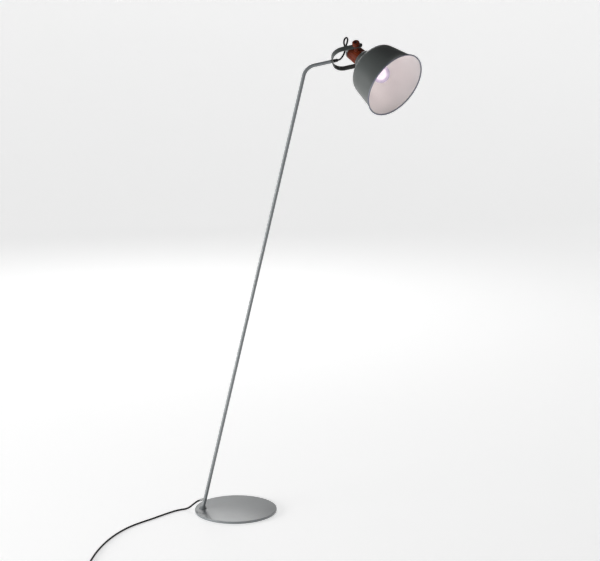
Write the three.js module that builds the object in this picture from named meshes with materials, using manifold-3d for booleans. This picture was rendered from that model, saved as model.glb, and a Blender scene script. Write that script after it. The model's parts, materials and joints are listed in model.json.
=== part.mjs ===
// Slim floor lamp: a round base plate, a leaning tube that bends into a short arm, a strap yoke that
// swivels on the arm's end, and a bell shade on a turned wooden neck that tilts between the yoke's legs.
// Millimetres, +Z up, origin on the floor under the middle of the base, +X from the base towards the shade.
import * as THREE from "three";
import { mergeVertices } from "three/addons/utils/BufferGeometryUtils.js";
import Module from "manifold-3d";

const wasm = await Module();
wasm.setup();

const RAD = Math.PI / 180;
const GAP = 0.3;

// Base
const BASE_R = 140;
const PAD_R = 134;
const PAD_T = 2;
const PLATE_T = 8;
const BASE_TOP = PAD_T + PLATE_T;
const FOOT_X = -113;
const FOOT_BOLT_R = 4;
const BOLT_HEAD_R = 7.6;
const BOLT_HEAD_H = 4;
const COLLAR_R = 13;
const COLLAR_H = 8;

// Tube: it leans over the base, then one bend turns it into the arm
const TUBE_R = 6;
const TUBE_WALL = 1.5;
const LEAN = 13.2 * RAD;
const POLE_L = 1538.5;
const ARM_RISE = 12.4 * RAD;
const BEND_R = 45;
const ARM_L = 88.8;
const LEAD_R = 2.5;

// Cord outlet: a short sleeve at the back of the tube, pointing down towards the floor
const OUTLET_H = 35;
const OUTLET_DROP = 19 * RAD;
const OUTLET_END = 19;
const OUTLET_R = 4.4;

// Yoke
const STRAP_W = 18;
const STRAP_T = 3;
const YOKE_HALF = 46;
const YOKE_CORNER_R = 38;
const PIVOT_REACH = 85;
const LEG_PAST_PIVOT = 11;
const SWIVEL = 43.6 * RAD;
const TILT = -60.8 * RAD;
const NIPPLE_R = 4.2;
const WASHER_T = 1;
const WASHER_R = 7.5;
const NUT_L = 16;
const ARM_STUB_END = 15;
const NUT_R = 5.6;

// Neck, knob and pivot
const PIVOT_BOLT_R = 3;
const PIVOT_BOLT_END = 9;
const KNOB_WASHER_T = 1.2;
const KNOB_WASHER_R = 8;
const NECK_REAR = -24.5;
const NECK_FRONT = 21.5;
const NECK_REAR_R = 26.3;
const NECK_FRONT_R = 27.6;
const NECK_BORE_R = 6.5;
const CAP_T = 10.5;
const CAP_WALL = 1.6;
const SPACER_R = 8;
const KNOB_R = 12.2;
const KNOB_H = 15;
const INSERT_R = 4.7;
const HEAD_LEAD_R = 2.9;
const LEAD_PLAY = 0.5;

// Shade, collar, lampholder and bulb, along the shade's own axis from the pivot
const SHADE_COLLAR_R = 38.4;
const SHADE_TOP = 43.2;
const SHADE_RIM = 187.6;
const SHADE_RIM_R = 112.4;
const SHADE_WALL = 1.4;
const HOLDER_R = 20;
const HOLDER_CUP_R = 22;
const HOLDER_WALL = 2.2;
const HEAD_NIPPLE_R = 5;
const HOLDER_START = 31;
const HOLDER_END = 77;
const BULB_CAP_R = 13;
const BULB_R = 29.5;
const BULB_CENTRE = 115;
const GLASS_T = 1;

// Mains cord with its switch and plug, all lying on the floor
const CORD_R = 3.1;
const COIL_X = -411;
const COIL_Y = -690;
const COIL_MID_R = 34;
const COIL_HALF_W = 9.3;
const COIL_LIFT = 1.3;
const COIL_H = 12.4;
const SWITCH_X = -445;
const SWITCH_Y = -594;
const SWITCH_L = 68;
const SWITCH_W = 26;
const SWITCH_BASE_H = 8.5;
const SWITCH_COVER_H = 8.5;
const SWITCH_WALL = 2;
const SWITCH_END_WALL = 8;
const ROCKER_W = 11.2;
const ROCKER_HALF_L = 8.6;
const ROCKER_TILT = 7 * RAD;
const PLUG_X = -377;
const PLUG_Y = -640;
const PLUG_L = 37;
const PLUG_HALF_W = 17.5;
const PLUG_T = 13.6;
const PLUG_MID = 7;
const PIN_R = 2;
const PIN_L = 19;
const PIN_SPREAD = 9.3;

const PAINT = { color: 0x8f9896, roughness: 0.42, metalness: 0.1 };
const BLACK = { color: 0x141414, roughness: 0.5, metalness: 0 };
const WOOD = { color: 0x6e3220, roughness: 0.45, metalness: 0 };
const STEEL = { color: 0xb5b7b8, roughness: 0.3, metalness: 1 };
const BRASS = { color: 0xb08d4a, roughness: 0.35, metalness: 1 };

// Keeps only positions, joins shared vertices, drops slivers on the axis and turns every face outwards.
function closed(geometry) {
  const bare = new THREE.BufferGeometry();
  bare.setAttribute("position", geometry.getAttribute("position").clone());
  if (geometry.index) bare.setIndex(geometry.index.clone());
  const merged = mergeVertices(bare, 1e-4);
  const p = merged.getAttribute("position");
  const kept = [];
  let volume = 0;
  for (let i = 0; i < merged.index.count; i += 3) {
    const [a, b, c] = [0, 1, 2].map((k) => merged.index.getX(i + k));
    if (a === b || b === c || c === a) continue;
    kept.push(a, b, c);
    const [va, vb, vc] = [a, b, c].map((k) => new THREE.Vector3().fromBufferAttribute(p, k));
    volume += va.dot(vb.cross(vc));
  }
  if (volume < 0) {
    for (let i = 0; i < kept.length; i += 3) [kept[i], kept[i + 1]] = [kept[i + 1], kept[i]];
  }
  merged.setIndex(kept);
  return merged;
}

function toManifold(geometry) {
  const g = closed(geometry);
  const mesh = new wasm.Mesh({
    numProp: 3,
    vertProperties: new Float32Array(g.getAttribute("position").array),
    triVerts: new Uint32Array(g.index.array),
  });
  return new wasm.Manifold(mesh);
}

function fromManifold(manifold) {
  const mesh = manifold.getMesh();
  const g = new THREE.BufferGeometry();
  g.setAttribute("position", new THREE.BufferAttribute(new Float32Array(mesh.vertProperties), 3));
  g.setIndex(Array.from(mesh.triVerts));
  return g;
}

function cut(geometry, ...tools) {
  return fromManifold(tools.reduce((body, tool) => body.subtract(toManifold(tool)), toManifold(geometry)));
}

function common(geometry, tool) {
  return fromManifold(toManifold(geometry).intersect(toManifold(tool)));
}

// A body turned about X: the profile's points are [position along X, radius].
function turned(profile, sides = 32) {
  const points = profile.map(([x, r]) => new THREE.Vector2(r, x));
  if (profile[0][1] > 0) points.push(points[0].clone());
  return new THREE.LatheGeometry(points, sides).rotateZ(-Math.PI / 2);
}

function turnedUp(profile, sides = 32) {
  return turned(profile, sides).rotateY(-Math.PI / 2);
}

function tubeProfile(x0, x1, inner, outer, chamfer = 0) {
  if (chamfer === 0) return [[x0, inner], [x0, outer], [x1, outer], [x1, inner]];
  return [
    [x0, inner], [x0, outer - chamfer], [x0 + chamfer, outer],
    [x1 - chamfer, outer], [x1, outer - chamfer], [x1, inner],
  ];
}

function rodProfile(x0, x1, r, chamfer = 0.5) {
  return [[x0, 0], [x0, r - chamfer], [x0 + chamfer, r], [x1 - chamfer, r], [x1, r - chamfer], [x1, 0]];
}

function rodZ(x, y, z0, z1, r, sides = 24) {
  const rod = new THREE.CylinderGeometry(r, r, z1 - z0, sides).rotateX(Math.PI / 2);
  return rod.translate(x, y, (z0 + z1) / 2);
}

// Turns a line of [x, r] points into a thin wall: the line is the outside, the inside lies one wall away.
function shell(outer, wall) {
  const inner = outer.map((point, i) => {
    const before = outer[Math.max(i - 1, 0)];
    const after = outer[Math.min(i + 1, outer.length - 1)];
    const along = new THREE.Vector2(after[0] - before[0], after[1] - before[1]).normalize();
    return [point[0] + along.y * wall, point[1] - along.x * wall];
  });
  return [...outer, ...inner.reverse()];
}

function circlePoints(r, sides) {
  return Array.from({ length: sides }, (_, i) => {
    const angle = (2 * Math.PI * i) / sides;
    return new THREE.Vector2(r * Math.cos(angle), r * Math.sin(angle));
  });
}

// A path that visits its points one by one, so that a long straight run needs no extra steps.
class Route extends THREE.Curve {
  constructor(points) {
    super();
    this.points = points;
  }

  getPoint(t) {
    const at = t * (this.points.length - 1);
    const i = Math.min(Math.floor(at), this.points.length - 2);
    return this.points[i].clone().lerp(this.points[i + 1], at - i);
  }

  getPointAt(u) {
    return this.getPoint(u);
  }

  getTangentAt(u) {
    const i = Math.round(u * (this.points.length - 1));
    const before = this.points[Math.max(i - 1, 0)];
    const after = this.points[Math.min(i + 1, this.points.length - 1)];
    return after.clone().sub(before).normalize();
  }
}

function sweep(path, steps, r, sides, bore = 0) {
  const section = new THREE.Shape(circlePoints(r, sides));
  if (bore > 0) section.holes.push(new THREE.Path(circlePoints(bore, sides).reverse()));
  return new THREE.ExtrudeGeometry(section, { steps, extrudePath: path, bevelEnabled: false });
}

function roundedRect(w, h, r, segments = 5) {
  const shape = new THREE.Shape();
  const corners = [[w / 2 - r, h / 2 - r, 0], [r - w / 2, h / 2 - r, 90], [r - w / 2, r - h / 2, 180],
    [w / 2 - r, r - h / 2, 270]];
  const points = [];
  for (const [x, y, start] of corners) {
    for (let i = 0; i <= segments; i += 1) {
      const a = (start + (90 * i) / segments) * RAD;
      points.push(new THREE.Vector2(x + r * Math.cos(a), y + r * Math.sin(a)));
    }
  }
  shape.setFromPoints(points);
  return shape;
}

function block(w, l, h, r, z0) {
  const options = { depth: h, bevelEnabled: false, steps: 1 };
  return new THREE.ExtrudeGeometry(roundedRect(w, l, r), options).translate(0, 0, z0);
}

function part(group, name, geometry, finish) {
  const mesh = new THREE.Mesh(closed(geometry), new THREE.MeshStandardMaterial(finish));
  mesh.name = name;
  group.add(mesh);
  return mesh;
}

// ---- Base -------------------------------------------------------------------------------------------

function basePad() {
  return turnedUp(rodProfile(0, PAD_T, PAD_R, 0.3), 48);
}

function basePlate() {
  const disc = turnedUp(rodProfile(PAD_T, BASE_TOP, BASE_R, 0.8), 60);
  const bore = rodZ(FOOT_X, 0, PAD_T - 1, BASE_TOP + 1, FOOT_BOLT_R + 0.4);
  const recess = rodZ(FOOT_X, 0, PAD_T - 1, PAD_T + BOLT_HEAD_H + 2 * GAP, BOLT_HEAD_R + 2 * GAP);
  return cut(disc, bore, recess);
}

function footBolt() {
  const z0 = PAD_T + GAP;
  const z1 = z0 + BOLT_HEAD_H;
  const top = BASE_TOP + COLLAR_H - 3;
  return turnedUp([
    [z0, 0], [z0, BOLT_HEAD_R - 0.5], [z0 + 0.5, BOLT_HEAD_R], [z1, BOLT_HEAD_R],
    [z1, FOOT_BOLT_R], [top - 0.6, FOOT_BOLT_R], [top, FOOT_BOLT_R - 0.6], [top, 0],
  ], 16).translate(FOOT_X, 0, 0);
}

function footCollar() {
  const top = BASE_TOP + COLLAR_H;
  const roof = top - 2.4;
  const bore = FOOT_BOLT_R + GAP;
  return turnedUp([
    [BASE_TOP, bore], [BASE_TOP, COLLAR_R], [BASE_TOP + 2.5, COLLAR_R], [top - 1, COLLAR_R - 2.6],
    [top, COLLAR_R - 3.6], [top, 0], [roof, 0], [roof, bore],
  ], 24).translate(FOOT_X, 0, 0);
}

// ---- Tube -------------------------------------------------------------------------------------------

const poleAxis = new THREE.Vector3(Math.sin(LEAN), 0, Math.cos(LEAN));
const armAxis = new THREE.Vector3(Math.cos(ARM_RISE), 0, Math.sin(ARM_RISE));
const foot = new THREE.Vector3(FOOT_X, 0, BASE_TOP);
const elbow = foot.clone().addScaledVector(poleAxis, POLE_L);
const yokeCentre = elbow.clone().addScaledVector(armAxis, ARM_L);

// The tube's centre line from a distance along the pole to a distance short of the yoke's plate.
function tubeLine(start, short) {
  const turn = Math.PI / 2 - LEAN - ARM_RISE;
  const tangent = BEND_R * Math.tan(turn / 2);
  const bendStart = elbow.clone().addScaledVector(poleAxis, -tangent);
  const toCentre = new THREE.Vector3(Math.cos(LEAN), 0, -Math.sin(LEAN));
  const centre = bendStart.clone().addScaledVector(toCentre, BEND_R);
  const points = [];
  const straightSteps = 4;
  for (let i = 0; i < straightSteps; i += 1) {
    const along = start + ((POLE_L - tangent - start) * i) / straightSteps;
    points.push(foot.clone().addScaledVector(poleAxis, along));
  }
  const bendSteps = 10;
  for (let i = 0; i <= bendSteps; i += 1) {
    const spoke = toCentre.clone().multiplyScalar(-BEND_R);
    spoke.applyAxisAngle(new THREE.Vector3(0, 1, 0), (turn * i) / bendSteps);
    points.push(centre.clone().add(spoke));
  }
  points.push(yokeCentre.clone().addScaledVector(armAxis, -short));
  return points;
}

function outletFrame(geometry) {
  const up = OUTLET_H / Math.cos(LEAN);
  const root = foot.clone().addScaledVector(poleAxis, up);
  return geometry.rotateY(Math.PI - OUTLET_DROP).translate(root.x, root.y, root.z);
}

function pole() {
  const line = tubeLine(4, STRAP_T / 2 + WASHER_T + 2 * GAP);
  const tube = sweep(new Route(line), line.length - 1, TUBE_R, 12, TUBE_R - TUBE_WALL);
  const depth = 40;
  const level = new THREE.BoxGeometry(60, 60, depth);
  level.translate(FOOT_X, 0, BASE_TOP + COLLAR_H - depth / 2);
  const hole = outletFrame(turned(rodProfile(0, TUBE_R + 8, OUTLET_R + GAP), 16));
  return cut(tube, level, hole);
}

function cordOutlet() {
  const bore = 3.3;
  const start = 5.2;
  return outletFrame(turned(tubeProfile(start, OUTLET_END, bore, OUTLET_R, 0.6), 16));
}

function poleLead() {
  const start = 70;
  const intoStub = 7;
  const line = tubeLine(start, -intoStub);
  return sweep(new Route(line), line.length - 1, LEAD_R, 8);
}

// ---- Arm end: the yoke turns on a threaded stub, held by a long cord-grip nut ---------------------------

function armStub() {
  const inTube = 18;
  return turned(tubeProfile(-inTube, ARM_STUB_END, LEAD_R + LEAD_PLAY, NIPPLE_R), 16);
}

function swivelWasher(side) {
  const inner = STRAP_T / 2 + GAP;
  const x0 = side < 0 ? -inner - WASHER_T : inner;
  return turned(tubeProfile(x0, x0 + WASHER_T, NIPPLE_R + GAP, WASHER_R), 20);
}

function armNut() {
  const x0 = STRAP_T / 2 + WASHER_T + 2 * GAP;
  const x1 = x0 + NUT_L;
  const bore = NIPPLE_R + GAP;
  const lip = x1 - 2;
  const exitR = HEAD_LEAD_R + LEAD_PLAY;
  return turned([
    [x0, bore], [x0, NUT_R - 0.4], [x0 + 0.4, NUT_R], [x1 - 4, NUT_R], [x1, NUT_R - 1.6],
    [x1, exitR], [lip, exitR], [lip, bore],
  ], 16);
}

// ---- Yoke -------------------------------------------------------------------------------------------

// One side of the strap, seen along Y: a leg, a round corner, the middle plate and back.
function strapLine(offset) {
  const half = YOKE_HALF - STRAP_T / 2 + offset;
  const r = YOKE_CORNER_R + offset;
  const legEnd = PIVOT_REACH + STRAP_W / 2 + LEG_PAST_PIVOT;
  const cx = YOKE_CORNER_R;
  const cz = YOKE_HALF - STRAP_T / 2 - YOKE_CORNER_R;
  const points = [[legEnd, -half]];
  const steps = 7;
  for (let i = 0; i <= steps; i += 1) {
    const a = (270 - (90 * i) / steps) * RAD;
    points.push([cx + r * Math.cos(a), -cz + r * Math.sin(a)]);
  }
  for (let i = 0; i <= steps; i += 1) {
    const a = (180 - (90 * i) / steps) * RAD;
    points.push([cx + r * Math.cos(a), cz + r * Math.sin(a)]);
  }
  points.push([legEnd, half]);
  return points;
}

function yoke() {
  const outline = [...strapLine(STRAP_T / 2), ...strapLine(-STRAP_T / 2).reverse()];
  const shape = new THREE.Shape(outline.map(([x, z]) => new THREE.Vector2(x, z)));
  const strap = new THREE.ExtrudeGeometry(shape, { depth: STRAP_W, bevelEnabled: false, steps: 1 });
  strap.translate(0, 0, -STRAP_W / 2).rotateX(Math.PI / 2);
  const outlineXY = new THREE.Shape();
  outlineXY.moveTo(-10, -STRAP_W);
  outlineXY.lineTo(PIVOT_REACH + LEG_PAST_PIVOT, -STRAP_W / 2);
  outlineXY.absarc(PIVOT_REACH + LEG_PAST_PIVOT, 0, STRAP_W / 2, -Math.PI / 2, Math.PI / 2, false);
  outlineXY.lineTo(-10, STRAP_W);
  const reach = YOKE_HALF + 8;
  const options = { depth: 2 * reach, bevelEnabled: false, curveSegments: 8 };
  const rounding = new THREE.ExtrudeGeometry(outlineXY, options).translate(0, 0, -reach);
  const plateHole = turned(rodProfile(-5, 5, NIPPLE_R + GAP, 0.1), 16);
  const legHoles = rodZ(PIVOT_REACH, 0, -reach, reach, PIVOT_BOLT_R + GAP, 16);
  return cut(common(strap, rounding), plateHole, legHoles);
}

function pivotBolt() {
  const under = -YOKE_HALF - GAP;
  const end = YOKE_HALF + PIVOT_BOLT_END;
  return turnedUp([
    [under - 4, 0], [under - 3.6, 3.2], [under - 2.2, 5.4], [under, 6.8], [under, PIVOT_BOLT_R],
    [end - 0.6, PIVOT_BOLT_R], [end, PIVOT_BOLT_R - 0.6], [end, 0],
  ], 16).translate(PIVOT_REACH, 0, 0);
}

function knobWasher() {
  const z0 = YOKE_HALF + GAP;
  const ring = tubeProfile(z0, z0 + KNOB_WASHER_T, PIVOT_BOLT_R + GAP, KNOB_WASHER_R);
  return turnedUp(ring, 20).translate(PIVOT_REACH, 0, 0);
}

// The flexible lead leaves the nut along the arm, swings up behind the strap, turns over in a narrow
// loop and comes down into the back of the neck.
function headLead() {
  const points = [
    [ARM_STUB_END + GAP, 0, 0], [21, 0, 0], [27, 0.7, 1.4], [36, 6.8, 5.2], [44.5, 16.7, 9.9],
    [49.5, 26.2, 13.9], [50, 36.2, 18.4], [50.3, 49, 22.2], [55.3, 63, 23], [62.3, 72, 18.5],
    [65.5, 74, 8], [62, 68.5, 0], [57.5, 61, -3], [56.6, 53.5, -3], [58.2, 47.6, -1.8], [61.2, 42.4, -0.5],
  ].map(([x, y, z]) => new THREE.Vector3(x, y, z));
  const into = new THREE.Vector3(Math.cos(TILT), Math.sin(TILT), 0);
  const pivot = new THREE.Vector3(PIVOT_REACH, 0, 0);
  const mouth = NECK_REAR - CAP_T - 2;
  for (const depth of [mouth, mouth + 9]) points.push(pivot.clone().addScaledVector(into, depth));
  return sweep(new THREE.CatmullRomCurve3(points, false, "centripetal"), 34, HEAD_LEAD_R, 8);
}

// ---- Knob -------------------------------------------------------------------------------------------

// The knob stands on its washer.
const knobFoot = YOKE_HALF + KNOB_WASHER_T + 3 * GAP;

function tiltKnob() {
  const z0 = knobFoot;
  const z1 = z0 + KNOB_H;
  const bore = INSERT_R + GAP;
  return turnedUp([
    [z0, bore], [z0, KNOB_R - 2.4], [z0 + 1.4, KNOB_R - 0.9], [z0 + 3.4, KNOB_R], [z1 - 3, KNOB_R],
    [z1 - 1, KNOB_R - 1.1], [z1, KNOB_R - 3.2], [z1, bore],
  ], 24).translate(PIVOT_REACH, 0, 0);
}

function knobInsert() {
  const z0 = knobFoot;
  const top = z0 + KNOB_H - 1.6;
  const bore = PIVOT_BOLT_R + GAP;
  const depth = YOKE_HALF + PIVOT_BOLT_END + 0.8;
  return turnedUp([[z0, bore], [z0, INSERT_R], [top, INSERT_R], [top, 0], [depth, 0], [depth, bore]], 16)
    .translate(PIVOT_REACH, 0, 0);
}

// ---- Neck -------------------------------------------------------------------------------------------

function woodNeck() {
  const body = turned([
    [NECK_REAR, NECK_BORE_R], [NECK_REAR, NECK_REAR_R], [0, NECK_REAR_R + 0.6], [14, NECK_REAR_R + 1.2],
    [NECK_FRONT - 0.8, NECK_FRONT_R], [NECK_FRONT, NECK_FRONT_R - 0.8], [NECK_FRONT, NECK_BORE_R],
  ], 32);
  const across = NECK_FRONT_R + 10;
  return cut(body, rodZ(0, 0, -across, across, PIVOT_BOLT_R + GAP, 12));
}

function neckSpacer(side) {
  const top = YOKE_HALF - STRAP_T - GAP;
  const root = 20;
  const [z0, z1] = side > 0 ? [root, top] : [-top, -root];
  const post = turnedUp(tubeProfile(z0, z1, PIVOT_BOLT_R + GAP, SPACER_R), 16);
  const neckR = NECK_REAR_R + 1.2;
  const saddle = new THREE.CylinderGeometry(neckR, neckR, 40, 32).rotateZ(Math.PI / 2);
  return cut(post, saddle);
}

function neckEndCap() {
  const rear = NECK_REAR - GAP - CAP_T;
  const r = NECK_REAR_R;
  const outer = [
    [rear, 4.4], [rear, r - 7], [rear + 0.9, r - 3.8], [rear + 3, r - 1.2], [rear + 6, r],
    [NECK_REAR - GAP, r],
  ];
  return turned(shell(outer, CAP_WALL), 32);
}

function leadGrommet() {
  const rear = NECK_REAR - GAP - CAP_T;
  const bore = HEAD_LEAD_R + LEAD_PLAY;
  const flange = 5.7;
  const stem = 4.1;
  return turned([
    [rear - 1.6, bore], [rear - 1.6, flange - 0.5], [rear - 1.1, flange], [rear - GAP, flange],
    [rear - GAP, stem], [rear + 3, stem], [rear + 3, bore],
  ], 14);
}

// ---- Shade ------------------------------------------------------------------------------------------

function shadeCollar() {
  const rear = NECK_FRONT + GAP;
  const r = SHADE_COLLAR_R;
  const outer = [
    [rear, 5.4], [rear, 28], [rear + 0.8, 30.2], [rear + 3, 32.8], [rear + 6.6, 35.2], [rear + 11, 37],
    [rear + 16, r - 0.4], [SHADE_TOP - GAP, r],
  ];
  return turned(shell(outer, CAP_WALL), 36);
}

// Short flat top, a hollow shoulder that swells into the dome, then a skirt that flares to the rim.
function shadeOutline() {
  return [
    [SHADE_TOP, HOLDER_R + 0.9], [SHADE_TOP, 39.5], [SHADE_TOP + 1.5, 42.8], [SHADE_TOP + 6.5, 51],
    [SHADE_TOP + 14.5, 62.6], [SHADE_TOP + 22.5, 73.6], [SHADE_TOP + 29.5, 81.5], [SHADE_TOP + 36.5, 86.6],
    [SHADE_TOP + 45.5, 90], [SHADE_TOP + 58.5, 92.8], [SHADE_TOP + 79.5, 96.6], [SHADE_TOP + 104.5, 101.2],
    [SHADE_TOP + 124.5, 105.6], [SHADE_RIM - 3.4, SHADE_RIM_R - 1.6], [SHADE_RIM - 2.6, SHADE_RIM_R],
    [SHADE_RIM, SHADE_RIM_R],
  ];
}

function shade() {
  return turned(shell(shadeOutline(), SHADE_WALL), 40);
}

function holderNipple() {
  return turned(tubeProfile(HOLDER_START - 23, HOLDER_START + 5, HEAD_NIPPLE_R - 1.5, HEAD_NIPPLE_R), 14);
}

function nippleNut() {
  const middle = HOLDER_START - 2.2;
  const thick = 3.6;
  const holeR = HEAD_NIPPLE_R + GAP;
  const bore = new THREE.CylinderGeometry(holeR, holeR, 3 * thick, 14).rotateZ(Math.PI / 2);
  const hex = new THREE.CylinderGeometry(8.6, 8.6, thick, 6).rotateZ(Math.PI / 2);
  return cut(hex, bore).translate(middle, 0, 0);
}

function lampholder() {
  const start = HOLDER_START;
  const shoulder = SHADE_TOP - GAP;
  const bore = HEAD_NIPPLE_R + GAP;
  return turned([
    [start, bore], [start, HOLDER_CUP_R - 1.5], [start + 1.5, HOLDER_CUP_R], [shoulder, HOLDER_CUP_R],
    [shoulder, HOLDER_R], [HOLDER_END, HOLDER_R], [HOLDER_END, HOLDER_R - HOLDER_WALL],
    [start + 6, HOLDER_R - HOLDER_WALL], [start + 6, bore],
  ], 24);
}

function holderSleeve() {
  const back = HOLDER_START + 8;
  const floor = back + 4;
  const front = HOLDER_END - 1.5;
  const outer = HOLDER_R - HOLDER_WALL - 2 * GAP;
  const bore = BULB_CAP_R + 1;
  return turned([[back, 0], [back, outer], [front, outer], [front, bore], [floor, bore], [floor, 0]], 20);
}

function holderRing() {
  const x0 = SHADE_TOP + SHADE_WALL + GAP;
  const width = 6;
  return turned(tubeProfile(x0, x0 + width, HOLDER_R + GAP, HOLDER_R + 7), 24);
}

function bulbCap() {
  const tip = BULB_CENTRE - 70;
  const front = BULB_CENTRE - 40.5;
  return turned([
    [tip, 0], [tip, 4.5], [tip + 4, 11], [tip + 6, BULB_CAP_R], [front, BULB_CAP_R - 0.4], [front, 0],
  ], 20);
}

function bulbGlass() {
  const throat = BULB_CENTRE - 40.2;
  const outer = [[throat, 12.4], [throat + 6.2, 13.6], [throat + 13.2, 17.4]];
  const throatPoints = outer.length;
  const first = 128 * RAD;
  const steps = 7;
  for (let i = 0; i < steps; i += 1) {
    const a = (first * (steps - i)) / steps;
    outer.push([BULB_CENTRE + BULB_R * Math.cos(a), BULB_R * Math.sin(a)]);
  }
  outer.push([BULB_CENTRE + BULB_R, 0]);
  const smaller = 1 - GLASS_T / BULB_R;
  const inner = outer.map(([x, r], i) => (
    i < throatPoints ? [x, r - GLASS_T] : [BULB_CENTRE + (x - BULB_CENTRE) * smaller, r * smaller]
  ));
  const points = [...outer, ...inner.reverse()].map(([x, r]) => new THREE.Vector2(r, x));
  points.push(points[0].clone());
  return new THREE.LatheGeometry(points, 24).rotateZ(-Math.PI / 2);
}

// ---- Mains cord, switch and plug ---------------------------------------------------------------------

function mainsCord() {
  const root = foot.clone().addScaledVector(poleAxis, OUTLET_H / Math.cos(LEAN));
  const outwards = new THREE.Vector3(-Math.cos(OUTLET_DROP), 0, -Math.sin(OUTLET_DROP));
  const mouth = root.clone().addScaledVector(outwards, OUTLET_END + GAP);
  const lying = CORD_R + 0.1;
  const rear = SWITCH_Y + SWITCH_L / 2;
  const falling = [[-136, 0.5, 32], [-148, 3, 22], [-160, 8, 11], [-172, 12, 4.2]];
  const onFloor = [
    [-188, 8], [-208, -6], [-232, -30], [-256, -57], [-286, -91], [-317, -124], [-348, -163], [-376, -212],
    [-400, -270], [-419, -335], [-433, -405], [-441, -470],
  ].map(([x, y]) => [x, y, lying]);
  const climbing = [
    [SWITCH_X, -515, 3.6], [SWITCH_X, -537, 6.6], [SWITCH_X, rear + 7, SWITCH_BASE_H],
    [SWITCH_X, rear + GAP, SWITCH_BASE_H],
  ];
  const points = [...falling, ...onFloor, ...climbing].map(([x, y, z]) => new THREE.Vector3(x, y, z));
  return sweep(new THREE.CatmullRomCurve3([mouth, ...points], false, "centripetal"), 44, CORD_R, 8);
}

function cordTail() {
  const y0 = SWITCH_Y - SWITCH_L / 2 - GAP;
  const points = [
    [SWITCH_X, y0, SWITCH_BASE_H], [SWITCH_X, y0 - 5, SWITCH_BASE_H], [SWITCH_X, y0 - 20, 5.2],
    [SWITCH_X, y0 - 31, 4.4],
  ].map(([x, y, z]) => new THREE.Vector3(x, y, z));
  return sweep(new THREE.CatmullRomCurve3(points, false, "centripetal"), 5, CORD_R, 8);
}

function cordCoil() {
  const [inner, outer] = [COIL_MID_R - COIL_HALF_W, COIL_MID_R + COIL_HALF_W];
  const top = COIL_LIFT + COIL_H;
  return turnedUp([
    [COIL_LIFT, inner + 2], [COIL_LIFT, outer - 2], [COIL_LIFT + 3, outer], [top - 5, outer],
    [top, outer - 5], [top, inner + 5], [top - 5, inner], [COIL_LIFT + 3, inner],
  ], 28).translate(COIL_X, COIL_Y, 0);
}

function cordTie() {
  const width = 10;
  const thick = 1.05;
  const [w, h] = [2 * COIL_HALF_W + 2, COIL_H + 0.5];
  const outer = roundedRect(w + 2 * thick, h + 2 * thick, 2);
  outer.holes.push(new THREE.Path(roundedRect(w, h, 0.8).getPoints().reverse()));
  const band = new THREE.ExtrudeGeometry(outer, { depth: width, bevelEnabled: false, steps: 1 });
  band.translate(0, 0, -width / 2).rotateX(Math.PI / 2).rotateZ(Math.PI / 2);
  return band.translate(COIL_X, COIL_Y - COIL_MID_R, COIL_H / 2 + COIL_LIFT);
}

function plugLead() {
  const points = [
    [PLUG_X, COIL_Y + 31, 4.6], [PLUG_X, COIL_Y + 39, 6.4], [PLUG_X, PLUG_Y - 5, PLUG_MID],
    [PLUG_X, PLUG_Y - GAP, PLUG_MID],
  ].map(([x, y, z]) => new THREE.Vector3(x, y, z));
  return sweep(new THREE.CatmullRomCurve3(points, false, "centripetal"), 5, CORD_R, 8);
}

function plugBody() {
  const outline = new THREE.Shape([
    [-5, 0], [5, 0], [8.5, 11], [PLUG_HALF_W, 19], [PLUG_HALF_W, PLUG_L], [-PLUG_HALF_W, PLUG_L],
    [-PLUG_HALF_W, 19], [-8.5, 11],
  ].map(([x, y]) => new THREE.Vector2(x, y)));
  const body = new THREE.ExtrudeGeometry(outline, { depth: PLUG_T, bevelEnabled: false, steps: 1 });
  return body.translate(PLUG_X, PLUG_Y, PLUG_MID - PLUG_T / 2);
}

function plugPin(side) {
  const y0 = PLUG_Y + PLUG_L + GAP;
  const pin = turned(rodProfile(0, PIN_L, PIN_R, 0.6), 14).rotateZ(Math.PI / 2);
  return pin.translate(PLUG_X + side * PIN_SPREAD, y0, PLUG_MID);
}

function switchHalf(z0, z1, hollow0, hollow1) {
  const outer = block(SWITCH_W, SWITCH_L, z1 - z0, 9, z0);
  const [w, l] = [SWITCH_W - 2 * SWITCH_WALL, SWITCH_L - 2 * SWITCH_END_WALL];
  return cut(outer, block(w, l, hollow1 - hollow0, 6, hollow0));
}

function switchBase() {
  const top = SWITCH_BASE_H - GAP / 2;
  return switchHalf(0, top, SWITCH_WALL, top + 1).translate(SWITCH_X, SWITCH_Y, 0);
}

function switchCover() {
  const z0 = SWITCH_BASE_H + GAP / 2;
  const z1 = z0 + SWITCH_COVER_H;
  const window = block(ROCKER_W + 1.4, 2 * ROCKER_HALF_L + 2.8, z1 + 10, 1, 0);
  const half = switchHalf(z0, z1, z0 - 1, z1 - SWITCH_WALL - 1);
  return cut(half, window).translate(SWITCH_X, SWITCH_Y, 0);
}

// A rocker with a shallow V on top, standing with one end pressed in.
function switchRocker() {
  const side = new THREE.Shape([
    [-ROCKER_HALF_L, 1], [-6, -3.6], [6, -3.6], [ROCKER_HALF_L, 1], [ROCKER_HALF_L, 4.6], [0, 3.4],
    [-ROCKER_HALF_L, 4.6],
  ].map(([x, y]) => new THREE.Vector2(x, y)));
  const body = new THREE.ExtrudeGeometry(side, { depth: ROCKER_W, bevelEnabled: false, steps: 1 });
  body.translate(0, 0, -ROCKER_W / 2).rotateX(Math.PI / 2).rotateZ(Math.PI / 2).rotateX(ROCKER_TILT);
  return body.translate(SWITCH_X, SWITCH_Y, SWITCH_BASE_H + 5.2);
}

// ---- Assembly ---------------------------------------------------------------------------------------

const lamp = new THREE.Group();

const armEnd = new THREE.Group();
armEnd.position.copy(yokeCentre);
armEnd.rotation.set(0, -ARM_RISE, 0);

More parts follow.
